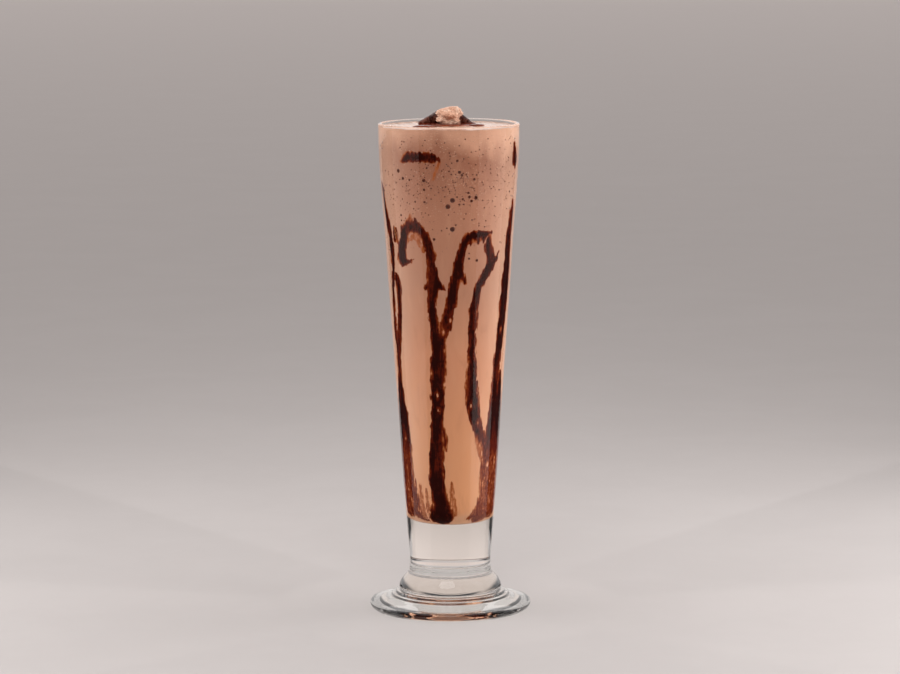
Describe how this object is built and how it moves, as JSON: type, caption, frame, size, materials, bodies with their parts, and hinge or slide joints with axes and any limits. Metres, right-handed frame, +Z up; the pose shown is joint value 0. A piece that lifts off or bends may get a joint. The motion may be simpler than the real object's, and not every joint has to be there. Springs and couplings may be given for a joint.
{
  "type": "chocolate milkshake",
  "caption": "Tall footed glass filled to the brim with chocolate milkshake, with dark syrup run down inside the wall and a froth lump on top.",
  "frame": {"origin": "centre of the glass's foot, at the bottom of the object", "axes": "+Z up along the glass's axis; the pictured side faces -Y and its right side is +X"},
  "size_m": [0.0794, 0.0794, 0.2484],
  "materials": {
    "glass": "clear pressed glass, fire polished",
    "milkshake": "light brown milk with fine froth and small bubbles",
    "froth": "pale brown grainy froth, slightly wet",
    "syrup": "glossy dark chocolate syrup, red brown where thin"
  },
  "bodies": {
    "root": {"glass": "glass", "milkshake": "milkshake", "froth_lump": "froth", "syrup_on_top": "syrup", "syrup_run_centre": "syrup", "syrup_run_right": "syrup", "syrup_run_left": "syrup", "syrup_fleck_left": "syrup", "syrup_patch_left": "syrup", "syrup_patch_right": "syrup", "syrup_run_back": "syrup", "syrup_run_back_left": "syrup", "syrup_run_back_right": "syrup", "syrup_patch_back": "syrup"}
  },
  "joints": []
}
